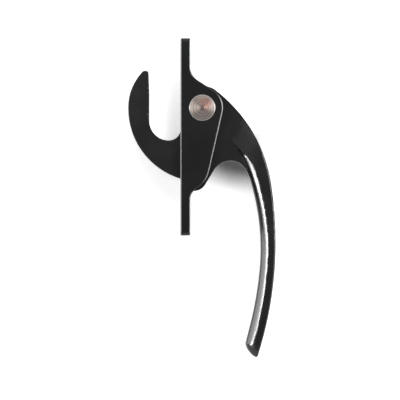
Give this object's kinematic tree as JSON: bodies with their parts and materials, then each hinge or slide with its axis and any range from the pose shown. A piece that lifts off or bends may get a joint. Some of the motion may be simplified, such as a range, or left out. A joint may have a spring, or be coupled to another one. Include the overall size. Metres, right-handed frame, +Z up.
{
  "type": "hook lock",
  "caption": "Window hook lock: slotted base plate with pivot cheeks and a riveted lever whose hook swings out behind the plate to catch a keeper, worked by a curved finger grip.",
  "frame": {"origin": "middle of the base plate's back face, halfway between the screw holes", "axes": "+X out of the plate towards the room and the grip, +Z up along the plate, +Y across its width"},
  "size_m": [0.059, 0.0223, 0.1274],
  "materials": {
    "black_coat": "satin black coating on a die casting",
    "rivet_steel": "turned bare steel with fine rings",
    "washer_plastic": "moulded plastic"
  },
  "bodies": {
    "base": {"base_bracket": "black_coat", "pivot_rivet": "rivet_steel", "friction_washer_near": "washer_plastic", "friction_washer_far": "washer_plastic"},
    "lever": {"hook_lever": "black_coat"}
  },
  "joints": [
    {"name": "lever_pivot", "type": "hinge", "parent": "base", "child": "lever", "pos_m": [0.0087, 0, 0.0116], "axis": [0, -1, 0], "range_deg": [0, 105]}
  ]
}
